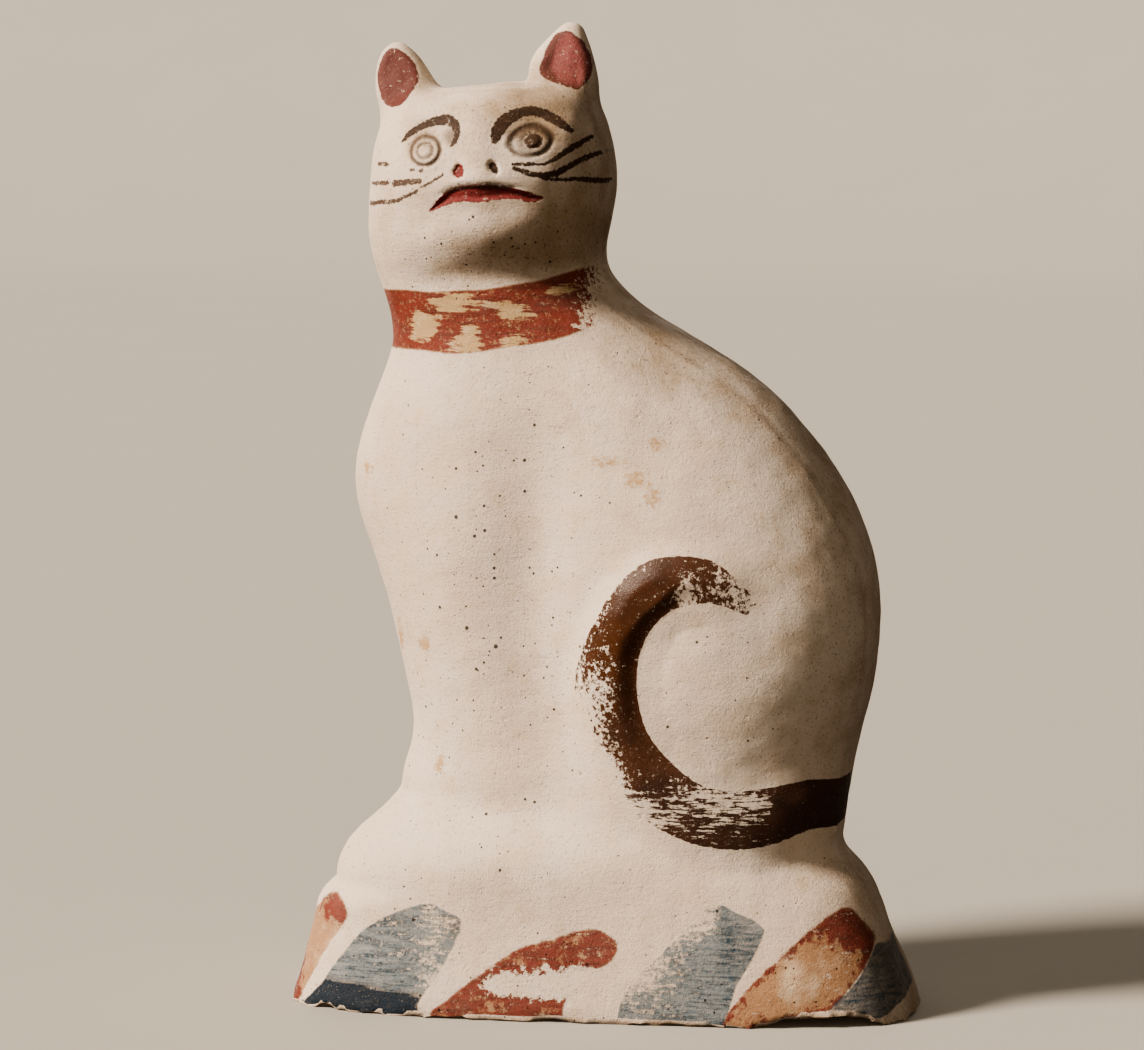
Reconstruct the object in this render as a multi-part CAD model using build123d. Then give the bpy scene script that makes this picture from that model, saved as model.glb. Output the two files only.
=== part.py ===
from build123d import *

# A seated cat with its head turned to its left: a hollow figure cast in plaster as two half shells.
#
# Millimetres. +Z is up, with the origin in the middle of the base's resting face. The chest looks along -X and
# the back along +X. The face, the curled tail and the banded front of the base look along -Y, the near side.
# The halves meet on a gently curved joint face, and a thin coat of plaster slip fills the joint. Two beads of
# slip are smeared over the joint inside, up the chest and up the back, as far as a hand reaches from below.

from dataclasses import dataclass
import math
import os

# Overall sizes: the form's lines below are shares of these three.
CROWN_HEIGHT = 253.0  # from the resting face to the top of the head, between the ears
BASE_LENGTH = 174.0  # along X
BASE_DEPTH = 92.0  # along Y

# The casting
WALL = 9.0  # thickness of a cast wall, measured level
CROWN_WALL = 15.0  # plaster over the top of the hollow
JOINT = 0.8  # thickness of the slip between the halves
SLIP_START = 2.0  # the slip has crumbled away from the resting rim up to this height
BEAD_WIDTH = 15.0  # the slip smeared over the joint inside
BEAD_THICKNESS = 2.6
BEAD_START = 12.0  # height where the beads start above the resting face
BEAD_REACH = 170.0  # and their length upward
CHEST_BEAD_X = -0.16  # the chest's bead lies beyond this X, of BASE_LENGTH
BACK_BEAD_X = 0.0  # and the back's beyond this one

# The joint face: its place in Y, as shares of BASE_DEPTH, below the foot, half way up and above the crown
JOINT_FOOT = -0.15
JOINT_MIDDLE = -0.20
JOINT_CROWN = -0.07

# Head
HEAD_TILT = 5.0  # the head leans, so that its +X side is higher, in degrees
CHEST_EAR_HEIGHT = 14.0  # of the ear on the -X side, above the crown
BACK_EAR_HEIGHT = 16.0  # of the ear on the +X side
EAR_SPREAD = 45.0  # between the ears' middles
EAR_WIDTH = 17.5  # where an ear leaves the head
EYE_SPREAD = 30.0  # between the eyes' middles
EYE_WIDTH = 9.0  # across the ring cut round an iris
EYE_HEIGHT = 0.932  # the heights on the face are shares of CROWN_HEIGHT
NOSTRIL_SPREAD = 9.5
NOSTRIL_WIDTH = 2.6
NOSTRIL_HEIGHT = 0.896
NOSTRIL_REACH = 4.0  # how far the tool that presses a nostril stands out of the face
MOUTH_WIDTH = 29.0
MOUTH_HEIGHT = 0.875  # of its middle
MOUTH_DROP = 4.0  # how much lower its corners are
GROOVE = 1.1  # radius of the tool that cut the eyes and the mouth

# Tail: a raised band on the near flank
TAIL_WIDTH = 15.5
TAIL_RISE = 2.0
TAIL_INNER = 0.23  # how near the middle of the figure it starts, of BASE_DEPTH

# A piece broken out of the resting rim, at the near side and toward +X
CHIP_WIDTH = 30.0
CHIP_HEIGHT = 3.3
CHIP_PLACE = 0.37  # along X, of BASE_LENGTH


@dataclass
class Line:
    """One level outline of the form. Heights, lengths and depths are shares of the three overall sizes."""

    height: float  # of CROWN_HEIGHT
    chest: float  # reach along -X, of BASE_LENGTH
    back: float  # reach along +X, of BASE_LENGTH
    near: float  # reach along -Y, of BASE_DEPTH
    far: float  # reach along +Y, of BASE_DEPTH
    ridge: float  # the Y where the outline is longest, of BASE_DEPTH
    square: float = 2.3  # 2 is an ellipse, and more is squarer
    flare: float = 0.0  # how much wider the outline is at the back than at the chest
    tilt: float = 0.0  # of the outline's plane about Y, in shares of HEAD_TILT


FORM = [
    Line(0.000, 0.500, 0.500, 0.500, 0.500, -0.17, 3.2),
    Line(0.020, 0.492, 0.489, 0.495, 0.494, -0.17, 3.2),
    Line(0.045, 0.480, 0.475, 0.488, 0.486, -0.17, 3.2),
    Line(0.090, 0.463, 0.450, 0.474, 0.468, -0.16, 3.0),
    Line(0.135, 0.434, 0.423, 0.456, 0.446, -0.14, 2.8),
    Line(0.172, 0.409, 0.389, 0.440, 0.426, -0.12, 2.6),
    Line(0.205, 0.362, 0.381, 0.415, 0.405, -0.10, 2.5, 0.06),
    Line(0.240, 0.335, 0.388, 0.412, 0.404, -0.08, 2.4, 0.12),
    Line(0.285, 0.314, 0.400, 0.418, 0.412, -0.06, 2.4, 0.14),
    Line(0.340, 0.322, 0.417, 0.428, 0.428, -0.03, 2.4, 0.16),
    Line(0.410, 0.349, 0.430, 0.434, 0.440, -0.01, 2.4, 0.16),
    Line(0.485, 0.381, 0.418, 0.430, 0.440, 0.01, 2.4, 0.14),
    Line(0.550, 0.414, 0.385, 0.414, 0.430, 0.03, 2.3, 0.12),
    Line(0.605, 0.411, 0.336, 0.390, 0.412, 0.04, 2.3, 0.08),
    Line(0.655, 0.392, 0.261, 0.372, 0.396, 0.04, 2.2, 0.02, 0.4),
    Line(0.705, 0.367, 0.151, 0.336, 0.364, 0.04, 2.2, 0.00, 0.7),
    Line(0.750, 0.356, 0.041, 0.312, 0.336, 0.03, 2.2, 0.00, 1.0),
    Line(0.795, 0.372, -0.012, 0.316, 0.328, 0.01, 2.2, 0.00, 1.0),
    Line(0.845, 0.387, -0.003, 0.348, 0.332, -0.01, 2.3, 0.00, 1.0),
    Line(0.895, 0.383, 0.003, 0.366, 0.334, -0.02, 2.5, 0.00, 1.0),
    Line(0.938, 0.376, -0.006, 0.352, 0.318, -0.02, 2.6, 0.00, 1.0),
    Line(0.972, 0.360, -0.026, 0.300, 0.268, -0.02, 2.6, 0.00, 1.0),
    Line(0.992, 0.319, -0.073, 0.206, 0.180, -0.02, 2.4, 0.00, 1.0),
    Line(1.000, 0.269, -0.122, 0.110, 0.090, -0.02, 2.2, 0.00, 1.0),
]
OUTLINE_POINTS = 24  # on each outline

# An ear's level sections, from its foot inside the head to its tip: the rise as a share of the ear's height,
# the width and depth as shares of EAR_WIDTH, and the shift toward the outer side as a share of EAR_WIDTH
EAR_FORM = [
    (-0.90, 0.98, 1.50, -0.04),
    (-0.30, 0.98, 1.25, -0.03),
    (0.20, 0.90, 0.98, 0.00),
    (0.60, 0.70, 0.72, 0.06),
    (0.86, 0.46, 0.46, 0.09),
    (1.00, 0.18, 0.18, 0.10),
]

# The tail's middle line on the flank, from the back round to its tip: shares of BASE_LENGTH and CROWN_HEIGHT
TAIL_LINE = [
    (0.47, 0.238),
    (0.36, 0.226),
    (0.24, 0.217),
    (0.14, 0.225),
    (0.07, 0.262),
    (0.035, 0.325),
    (0.035, 0.390),
    (0.075, 0.445),
    (0.140, 0.476),
    (0.210, 0.462),
]


def power(value, exponent):
    """A signed power, which rounds or squares the corners of an outline."""
    return math.copysign(abs(value) ** exponent, value)


def outline_point(line, turn, inset):
    """The point of an outline at an angle from +X, drawn in by an inset, as x and y."""
    chest = line.chest * BASE_LENGTH - inset
    back = line.back * BASE_LENGTH - inset
    ridge = line.ridge * BASE_DEPTH
    along = power(math.cos(turn), 2 / line.square)
    across = power(math.sin(turn), 2 / line.square)
    side = line.far * BASE_DEPTH - ridge if across > 0 else line.near * BASE_DEPTH + ridge
    reach = (side - inset) * (1 + line.flare * along)
    return (back - chest) / 2 + (back + chest) / 2 * along, ridge + reach * across


def outline(line, inset=0.0, height=None):
    """A closed outline as a face, on its own tilted plane. It starts on the far side, clear of the joint."""
    z = line.height * CROWN_HEIGHT if height is None else height
    pivot = (line.back - line.chest) * BASE_LENGTH / 2
    lean = math.tan(math.radians(HEAD_TILT * line.tilt))
    points = []
    for i in range(OUTLINE_POINTS):
        x, y = outline_point(line, 2 * math.pi * (i / OUTLINE_POINTS + 0.25), inset)
        points.append((x, y, z + (x - pivot) * lean))
    return make_face(Spline(points, periodic=True))


def form(inset=0.0):
    """The outside of the figure without its ears and tail."""
    return loft([outline(line, inset) for line in FORM])


def hollow(inset):
    """The inside of the figure, drawn in from the outside by an inset and open at the foot."""
    top = CROWN_HEIGHT - CROWN_WALL
    lines = [line for line in FORM if line.height * CROWN_HEIGHT < top]
    faces = [outline(lines[0], inset, height=-1.0)]
    faces += [outline(line, inset) for line in lines[1:]]
    return loft(faces)


def ear(side, height):
    """An ear with its flared foot inside the head. Side is -1 toward the chest and 1 toward the back."""
    head = FORM[-3]
    middle = (head.back - head.chest) * BASE_LENGTH / 2
    spread = EAR_SPREAD / 2
    lean = math.tan(math.radians(HEAD_TILT))
    sections = []
    for rise, width, depth, outward in EAR_FORM:
        x = middle + side * (spread + outward * EAR_WIDTH)
        z = CROWN_HEIGHT + side * spread * lean + rise * height
        place = Plane(origin=(x, head.ridge * BASE_DEPTH, z), x_dir=(0, 1, 0), z_dir=(0, 0, 1))
        sections.append(place * Ellipse(depth * EAR_WIDTH / 2, width * EAR_WIDTH / 2))
    return loft(sections)


def tail_band():
    """A block over the tail's line, reaching inward almost to the joint."""
    points = [(x * BASE_LENGTH, z * CROWN_HEIGHT) for x, z in TAIL_LINE]
    stroke = Plane.XZ.offset(TAIL_INNER * BASE_DEPTH) * trace(Spline(points), line_width=TAIL_WIDTH)
    return extrude(stroke, BASE_DEPTH / 2)


def tail():
    """The tail: what lies under the band and within its rise of the flank."""
    return form(-TAIL_RISE) & tail_band()


def near_surface(x, height):
    """The Y of the form's near side at an X and a share of the height, between the two nearest outlines."""
    for low, high in zip(FORM, FORM[1:]):
        if low.height <= height <= high.height:
            share = (height - low.height) / (high.height - low.height)
            return near_side(low, x) * (1 - share) + near_side(high, x) * share
    raise ValueError(height)


def near_side(line, x):
    """The Y of one outline's near side at an X."""
    middle = (line.back - line.chest) * BASE_LENGTH / 2
    along = (x - middle) / ((line.back + line.chest) * BASE_LENGTH / 2)
    across = (1 - abs(along) ** line.square) ** (1 / line.square)
    ridge = line.ridge * BASE_DEPTH
    return ridge - (line.near * BASE_DEPTH + ridge) * across * (1 + line.flare * along)


def on_face(across, height):
    """A plane on the face: a distance from its middle line along the tilt, and a share of the height."""
    head = FORM[-4]
    middle = (head.back - head.chest) * BASE_LENGTH / 2
    tilt = math.radians(HEAD_TILT)
    x = middle + across * math.cos(tilt)
    z = height * CROWN_HEIGHT + across * math.sin(tilt)
    slope = (near_surface(x + 1, height) - near_surface(x - 1, height)) / 2
    return Plane(origin=(x, near_surface(x, height), z), x_dir=(1, slope, 0), z_dir=(slope, -1, 0))


def nostril_tool():
    """A rod with a round end, which presses in by its own radius."""
    radius = NOSTRIL_WIDTH / 2
    rod = Cylinder(radius, NOSTRIL_REACH, align=(Align.CENTER, Align.CENTER, Align.MIN))
    return rod + Sphere(radius)


def face_cuts():
    """The tools that cut the two eyes' rings, the mouth and the nostrils."""
    cuts = []
    for side in (-1, 1):
        cuts.append(on_face(side * EYE_SPREAD / 2, EYE_HEIGHT) * Torus(EYE_WIDTH / 2, GROOVE))
        cuts.append(on_face(side * NOSTRIL_SPREAD / 2, NOSTRIL_HEIGHT) * nostril_tool())
    corner = MOUTH_HEIGHT - MOUTH_DROP / CROWN_HEIGHT
    places = [(-0.5, corner), (0.0, MOUTH_HEIGHT), (0.5, corner)]
    line = Spline([on_face(share * MOUTH_WIDTH, height).origin for share, height in places])
    cuts.append(sweep(Plane(origin=line @ 0, z_dir=line % 0) * Circle(GROOVE), path=line))
    return cuts


def rim_chip():
    """The block that takes the chip out of the resting rim, through the whole near wall."""
    middle = CHIP_PLACE * BASE_LENGTH
    start = (middle - CHIP_WIDTH / 2, -WALL)
    end = (middle + CHIP_WIDTH / 2, -WALL)
    arc = ThreePointArc((start[0], 0), (middle, CHIP_HEIGHT), (end[0], 0))
    profile = make_face([arc, Polyline((start[0], 0), start, end, (end[0], 0))])
    return extrude(Plane.XZ.offset(BASE_DEPTH / 4) * profile, BASE_DEPTH)


def beside_joint(offset, side):
    """A block of everything on one side of the joint face moved along Y. Side is -1 for near and 1 for far."""
    low = -WALL
    high = CROWN_HEIGHT + max(CHEST_EAR_HEIGHT, BACK_EAR_HEIGHT) + WALL
    foot = (JOINT_FOOT * BASE_DEPTH + offset, low)
    middle = (JOINT_MIDDLE * BASE_DEPTH + offset, (low + high) / 2)
    crown = (JOINT_CROWN * BASE_DEPTH + offset, high)
    edge = side * BASE_DEPTH
    arc = ThreePointArc(foot, middle, crown)
    rest = Polyline(crown, (edge, high), (edge, low), foot)
    return extrude(Plane.YZ * make_face([arc, rest]), BASE_LENGTH, both=True)


def figure():
    """The whole cast figure, before it is divided at the joint."""
    outside = form() + tail() + ear(-1, CHEST_EAR_HEIGHT) + ear(1, BACK_EAR_HEIGHT)
    return outside - face_cuts() - hollow(WALL) - rim_chip()


def joint_slip(whole, near_block, far_block):
    """The coat of slip in the joint: what neither half takes, above the worn rim."""
    worn = Box(2 * BASE_LENGTH, 2 * BASE_DEPTH, SLIP_START, align=(Align.CENTER, Align.CENTER, Align.MIN))
    return whole - near_block - far_block - worn


def beads():
    """The slip smeared over the joint inside: up the chest, and up the back."""
    layer = hollow(WALL) - hollow(WALL + BEAD_THICKNESS)
    layer -= beside_joint(-BEAD_WIDTH / 2, -1)
    layer -= beside_joint(BEAD_WIDTH / 2, 1)
    chest = Box(BASE_LENGTH, 2 * BASE_DEPTH, BEAD_REACH, align=(Align.MAX, Align.CENTER, Align.MIN))
    back = Box(BASE_LENGTH, 2 * BASE_DEPTH, BEAD_REACH, align=(Align.MIN, Align.CENTER, Align.MIN))
    chest = Pos(CHEST_BEAD_X * BASE_LENGTH, 0, BEAD_START) * chest
    back = Pos(BACK_BEAD_X * BASE_LENGTH, 0, BEAD_START) * back
    return layer & chest, layer & back


def build():
    os.makedirs("parts", exist_ok=True)
    whole = figure()
    near_block = beside_joint(-JOINT / 2, -1)
    far_block = beside_joint(JOINT / 2, 1)
    chest_bead, back_bead = beads()
    parts = {
        "near_half_shell": whole & near_block,
        "far_half_shell": whole & far_block,
        "joint_slip": joint_slip(whole, near_block, far_block),
        "chest_bead": chest_bead,
        "back_bead": back_bead,
    }
    for name, part in parts.items():
        export_step(part, f"parts/{name}.step")


build()
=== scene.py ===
import math

import bmesh
import bpy
import numpy as np
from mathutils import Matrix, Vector


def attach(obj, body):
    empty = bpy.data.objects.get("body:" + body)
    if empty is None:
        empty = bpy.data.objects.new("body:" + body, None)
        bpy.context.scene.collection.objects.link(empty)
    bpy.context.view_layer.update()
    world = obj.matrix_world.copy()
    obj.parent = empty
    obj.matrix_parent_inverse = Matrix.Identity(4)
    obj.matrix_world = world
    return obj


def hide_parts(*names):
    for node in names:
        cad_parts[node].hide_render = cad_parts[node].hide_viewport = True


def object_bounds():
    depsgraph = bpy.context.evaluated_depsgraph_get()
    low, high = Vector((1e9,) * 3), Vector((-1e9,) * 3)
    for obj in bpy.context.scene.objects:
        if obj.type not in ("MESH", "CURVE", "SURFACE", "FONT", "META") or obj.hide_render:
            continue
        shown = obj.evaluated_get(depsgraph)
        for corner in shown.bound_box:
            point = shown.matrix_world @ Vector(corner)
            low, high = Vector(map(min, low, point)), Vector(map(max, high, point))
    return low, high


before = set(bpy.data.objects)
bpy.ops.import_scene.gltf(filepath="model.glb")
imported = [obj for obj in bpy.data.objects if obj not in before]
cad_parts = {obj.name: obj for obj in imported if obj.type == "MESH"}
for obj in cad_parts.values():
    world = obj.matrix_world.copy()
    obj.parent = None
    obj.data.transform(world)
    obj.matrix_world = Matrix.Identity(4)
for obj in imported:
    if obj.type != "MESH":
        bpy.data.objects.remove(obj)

# A seated plaster cat: the two cast half shells, the slip that joins them, and the beads smeared inside.
# Lengths in the tables below are in millimetres: x toward the back, z up, as the near side is seen from -Y.
MM = 0.001
CAD_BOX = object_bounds()
SKIN = 1.4  # size of the small faces that the casting is worked in
HALF_JOINT = 0.4  # half the thickness of the slip between the halves
FAR_OUT = -12.0  # the distance stored where a paint is nowhere near
HEAD_TILT = math.radians(5)
FACE = (-32.0, 232.0)  # between the eyes and the mouth

# ---------------------------------------------------------------- the painter's shapes on the near side

MOUTH = [(-45.2, 219.4), (-42.8, 222.3), (-40, 225), (-35.7, 226.6), (-28.8, 226.9), (-22.7, 226.2),
         (-17.7, 224.7), (-14, 223.2), (-16.9, 222), (-20.5, 222.6), (-25.1, 222.8), (-31.2, 222),
         (-35.7, 222.2), (-40, 221.2), (-43, 219.8)]
NOSTRILS = [[(-37.9, 229), (-38.4, 230.4), (-36.8, 232.4), (-35.3, 231), (-35.4, 228.9), (-36.8, 228.5)],
            [(-28.9, 232), (-27.9, 233.3), (-26.2, 232.4), (-25.5, 230.2), (-26.4, 229.3), (-28.1, 230.2)]]
EAR_PATCHES = {
    "chest": [(-63.6, 259.5), (-62, 262.4), (-59.3, 263), (-55.9, 260.8), (-53.6, 257.9), (-52.5, 254.7),
              (-53.9, 251), (-56, 247.6), (-59.6, 247), (-62.6, 249), (-64.2, 253), (-64.4, 256.5)],
    "back": [(-14.6, 267), (-11.6, 267.7), (-8.4, 265.9), (-6.3, 263), (-4.9, 259.4), (-5.1, 255.3),
             (-7.6, 252), (-10.7, 252.6), (-15.1, 254), (-18.6, 256.5), (-18, 260.5), (-16.6, 264.2)],
}
# Brush strokes: points (x, z) with the half width of the stroke at each
BROWS = [
    [(-53.6, 238, 0.4), (-51.4, 240.2, 0.8), (-48, 242.2, 1.0), (-44.4, 243.5, 1.2), (-41.3, 243.9, 1.4),
     (-38.8, 243, 1.3), (-37.8, 241, 1.0), (-37.9, 239, 0.8), (-39, 237.2, 0.4)],
    [(-27.2, 238.6, 1.0), (-26.4, 241.6, 1.9), (-24.4, 244.2, 1.8), (-20.8, 246.0, 1.4),
     (-17.4, 246.2, 1.3), (-14.4, 245.2, 1.3), (-11, 243.3, 1.15), (-7.8, 241, 0.7)],
]
WHISKERS = [
    [(-22, 232.2, 0.45), (-17.9, 232.3, 0.5), (-13.7, 232.3, 0.35), (-11, 233.8, 0.7), (-7.9, 236, 0.85),
     (-3.4, 239.2, 0.6)],
    [(-21.8, 231.2, 0.5), (-17.6, 229.9, 0.8), (-14.3, 229.3, 0.9), (-10.5, 230, 0.9), (-6.3, 232.5, 0.8),
     (-3, 234.2, 0.7), (-0.4, 235.1, 0.5)],
    [(-19.5, 230.1, 0.45), (-14.8, 228.8, 0.5), (-10.5, 228, 0.45), (-6.3, 228, 0.6), (-2.5, 227.5, 0.75),
     (0.2, 227.1, 0.7)],
]
CHEST_WHISKERS = [
    [(-61, 231.8, 0.5), (-58, 231.8, 0.6)],
    [(-63.2, 226.4, 0.5), (-57.6, 226.8, 0.65)],
    [(-55.2, 226.7, 0.9), (-47.6, 227.6, 0.7)],
    [(-64.4, 220.8, 0.6), (-59.5, 221.5, 0.6), (-54.8, 222, 0.6), (-51.8, 223.4, 0.45),
     (-48.4, 224.8, 0.4)],
    [(-47.3, 225.9, 0.3), (-44.1, 227.4, 0.35), (-41.1, 229.3, 0.35)],
    [(-50.4, 230.6, 0.5), (-49.6, 230.5, 0.5)],
    [(-47.6, 230.4, 0.5), (-47, 230.4, 0.45)],
]
EYES = {"chest": (-46.5, 235.7, 4.0, 3.7), "back": (-17.4, 238.4, 4.6, 3.6)}
LID = [(-23.8, 237.6), (-21.9, 240.6), (-18.4, 242.3), (-14.9, 241.5), (-12.5, 239.2), (-13.8, 236.2),
       (-17.4, 234.4), (-21.4, 235.2)]
TAIL_TIP = 21  # the outline's place where its outer edge turns round the tip and back along the inner edge
TAIL = [(72, 53.5), (59.3, 52.2), (49.6, 48.8), (39.1, 47.6), (29.8, 48.8), (21.6, 51.8), (14.5, 55.8),
        (7.9, 60.4), (3.1, 65.2), (-2, 73.6), (-4, 81.9), (-4.6, 90.9), (-2.4, 101.1), (2.4, 111.1),
        (7.8, 119.6), (13.7, 125), (19.6, 127.6), (27.5, 128), (33.3, 126.8), (39.1, 122.8), (43.5, 117.9),
        (45.2, 114.6), (43, 112.2), (39, 113.7), (34.6, 115.2), (29.4, 115.3), (23, 113.5), (17.7, 108.6),
        (14.4, 102), (13.3, 94.8), (14.1, 85.7), (16.7, 78.6), (21.4, 72.7), (26.7, 68), (33.1, 64.7),
        (41.7, 63.9), (49.7, 64.9), (58.6, 66.2), (72, 66.6)]
STRIPES_RED = [
    [(-73.4, 31), (-68.3, 27.6), (-69.4, 23.6), (-74.3, 16.3), (-80.7, 5.1), (-84, 0), (-90, 0), (-90, 8),
     (-82, 22)],
    [(-42.4, 0.2), (-38.2, 5.6), (-29, 12.8), (-19.7, 19.4), (-10.5, 22.5), (1, 25.7), (7.6, 22.6),
     (6.9, 18), (-1, 12), (-6, 6), (-8, 0), (-20, -1)],
    [(68.9, 31.4), (73.9, 26.7), (76.6, 22.4), (74.5, 16.2), (70.4, 10.1), (65.5, 5.2), (58, 3), (50, -1),
     (36, -1), (42.5, 9.3), (50.2, 17.2), (61, 27)],
]
RED_BARE = [
    [(-19.6, 14.1), (-26.6, 13), (-30, 8.2), (-19.5, 6.3), (-9, 5.6), (0, 8), (9, 12), (9, 16.5),
     (-3.4, 15.6), (-10.4, 15.4)],
]
STRIPES_BLUE = [
    [(-46.1, 30.8), (-38.8, 29), (-35.1, 25.6), (-40.7, 13.4), (-46.5, 4.6), (-49.8, -1), (-80, -1),
     (-75.1, 7.2), (-68.9, 15.9), (-60.5, 24.6)],
    [(33.5, 32.9), (39.7, 31.2), (47.1, 27.4), (46.7, 22.7), (40.8, 11.5), (34.4, -1), (10, -1),
     (11.6, 10.8), (19.5, 18.9), (26.2, 25.8)],
    [(79.5, 19.4), (84, 12), (85.5, 7), (82.8, 4.6), (78.2, 2), (71.6, 4.6), (66.1, 5.4), (70.6, 10.1),
     (75, 16.1), (76.9, 21)],
]
COLLAR_OCHRE = [
    [(-46, 196), (-40, 197.4), (-30, 195.5), (-22, 195), (-17, 191), (-24, 189.5), (-31, 193), (-38, 192),
     (-44, 190)],
    [(-52, 190), (-47, 191.5), (-44, 187), (-47, 183.6), (-53, 184.5)],
    [(-38, 187), (-33, 189.5), (-31, 182), (-36, 180.6), (-41, 182.5)],
    [(-27, 183.5), (-22, 187), (-18, 184), (-24, 182)],
    [(-14, 197.5), (-8, 199.5), (-6, 197), (-12, 195)],
]
# The worn places of the blue strokes and the tail: how much more is gone, then x, z, width and height
BLUE_WORN = [(0.17, 14, 18, 10, 12), (0.2, 28, 30, 8, 6), (0.1, -42, 27, 7, 7), (0.14, -43, 8, 5, 12),
             (-0.2, 42, 20, 5, 14), (-0.2, -66, 4, 14, 6)]
TAIL_WORN = [(0.22, -2, 82, 5, 12), (0.5, 0, 66, 8, 8), (0.09, 36, 57, 20, 8), (0.12, 4, 92, 5, 12),
             (0.11, 38, 121, 7, 6), (0.18, 27, 117, 3, 7), (0.12, 42, 116, 5, 5), (0.12, 14, 57, 8, 6),
             (0.1, 36, 63, 16, 5), (0.08, 4, 116, 6, 10), (-0.1, 15, 84, 5, 16), (-0.06, 8, 112, 7, 9)]
# Dirt and painted shade on the face, from its middle: darker on its right half, under the chin and in the eye
# hollows
FACE_DIRT_AND_SHADE = [(0.9, 10, -24, 24, 9), (0.7, 27, -4, 13, 28), (0.65, 12, 18, 16, 7), (0.35, -28, -12, 4, 12),
             (0.4, -4, 8, 12, 9), (0.55, 14, 11, 10, 5), (0.3, 0, -14, 16, 4), (0.4, -14.8, 8, 6, 5),
             (0.4, 14.8, 8, 6, 5)]
# Painted shade on the near side of the body: in the crease above the paws, along the base's top and in the
# valley behind the foreleg
BODY_CREASE_SHADE = [(0.3, -32, 56, 24, 4), (0.25, -30, 26, 40, 5), (0.12, -16, 110, 10, 50)]
# The broad forms of the body: how far out the surface swells, then x, z, width and height
BODY_FORMS = [
    (-4.6, -16, 118, 12, 44),  # behind the foreleg
    (-2.2, -10, 74, 12, 18),
    (2.2, 26, 96, 28, 36),  # haunch
    (1.5, -42, 112, 12, 45),  # foreleg
    (2.2, -36, 40, 34, 10),  # paws
    (-1.7, -32, 57, 26, 5.5),  # above the paws
    (-1.5, 60, 44, 14, 6),  # under the tail's root
]
STAINS = [(5, 152.5, 5.5, 2.2), (13, 148, 6, 2.8), (17, 143, 3.5, 4), (17, 157, 2.6, 3),
          (-65.9, 147.5, 2, 4.5), (-48.5, 100.5, 2.4, 4.5), (-57, 101, 1.6, 6), (-44, 66.8, 2.5, 4)]


def coords(mesh):
    """The mesh's points in millimetres, one row each."""
    flat = np.empty(len(mesh.vertices) * 3)
    mesh.vertices.foreach_get("co", flat)
    return flat.reshape(-1, 3) / MM


def normals(mesh):
    """Each point's outward direction."""
    flat = np.empty(len(mesh.vertices) * 3)
    mesh.vertices.foreach_get("normal", flat)
    return flat.reshape(-1, 3)


def place(mesh, points):
    """Puts the mesh's points where these rows say."""
    mesh.vertices.foreach_set("co", (points * MM).ravel())
    mesh.update()


def edges_of(mesh):
    flat = np.empty(len(mesh.edges) * 2, dtype=np.int64)
    mesh.edges.foreach_get("vertices", flat)
    return flat.reshape(-1, 2)


def add_object(name, mesh):
    obj = bpy.data.objects.new(name, mesh)
    bpy.context.scene.collection.objects.link(obj)
    return obj


def from_bmesh(name, bm):
    mesh = bpy.data.meshes.new(name)
    bm.to_mesh(mesh)
    bm.free()
    return add_object(name, mesh)


def joint_line():
    """The joint's place in Y at a height, read from the slip in the joint."""
    points = coords(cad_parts["joint_slip"].data)
    return np.polyfit(points[:, 2], points[:, 1], 2)


JOINT = joint_line()


def even_skin(name, nodes, size):
    """The CAD solids of these nodes as one closed skin of small even faces."""
    bm = bmesh.new()
    for node in nodes:
        bm.from_mesh(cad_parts[node].data)
    bmesh.ops.remove_doubles(bm, verts=bm.verts, dist=0.01 * MM)
    obj = from_bmesh(name, bm)
    even = obj.modifiers.new("even", "REMESH")
    even.mode = "VOXEL"
    even.voxel_size = size * MM
    graph = bpy.context.evaluated_depsgraph_get()
    mesh = bpy.data.meshes.new_from_object(obj.evaluated_get(graph))
    rough = obj.data
    obj.modifiers.clear()
    obj.data = mesh
    bpy.data.meshes.remove(rough)
    return obj


def relax(mesh, rounds, share=0.5, keep=0.53, where=None):
    """Evens the surface, and swells it back after each round so that it doesn't shrink."""
    points = coords(mesh)
    edges = edges_of(mesh)
    ends = np.concatenate([edges, edges[:, ::-1]])
    count = np.maximum(np.bincount(ends[:, 0], minlength=len(points)), 1)
    where = np.ones(len(points)) if where is None else where
    for _ in range(rounds):
        for step in (share, -keep):
            if step == 0:
                continue
            middle = np.stack([np.bincount(ends[:, 0], points[ends[:, 1], axis], len(points)) / count
                               for axis in range(3)], axis=1)
            points = points + (middle - points) * (step * where)[:, None]
    place(mesh, points)


def refine(mesh, inside):
    """Halves the faces whose points are all in a region, given as a function of the points."""
    bm = bmesh.new()
    bm.from_mesh(mesh)
    bm.verts.ensure_lookup_table()
    points = np.array([v.co for v in bm.verts]) / MM
    way = np.array([v.normal for v in bm.verts])
    flags = inside(points, way)
    edges = [e for e in bm.edges if flags[e.verts[0].index] and flags[e.verts[1].index]]
    bmesh.ops.subdivide_edges(bm, edges=edges, cuts=1, use_grid_fill=True)
    bm.to_mesh(mesh)
    bm.free()


def outer_skin(mesh):
    """Which points are on the outside: those joined to the ears' tips without crossing the resting rim."""
    points, way = coords(mesh), normals(mesh)
    rim = (points[:, 2] < 6) & (way[:, 2] < -0.3)
    near = [[] for _ in points]
    for a, b in edges_of(mesh):
        near[a].append(b)
        near[b].append(a)
    outside = np.zeros(len(points), dtype=bool)
    queue = [int(points[:, 2].argmax())]
    outside[queue] = True
    while queue:
        a = queue.pop()
        for b in near[a]:
            if not outside[b] and not rim[b]:
                outside[b] = True
                queue.append(b)
    return outside


# ---------------------------------------------------------------- shapes as distances

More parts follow.
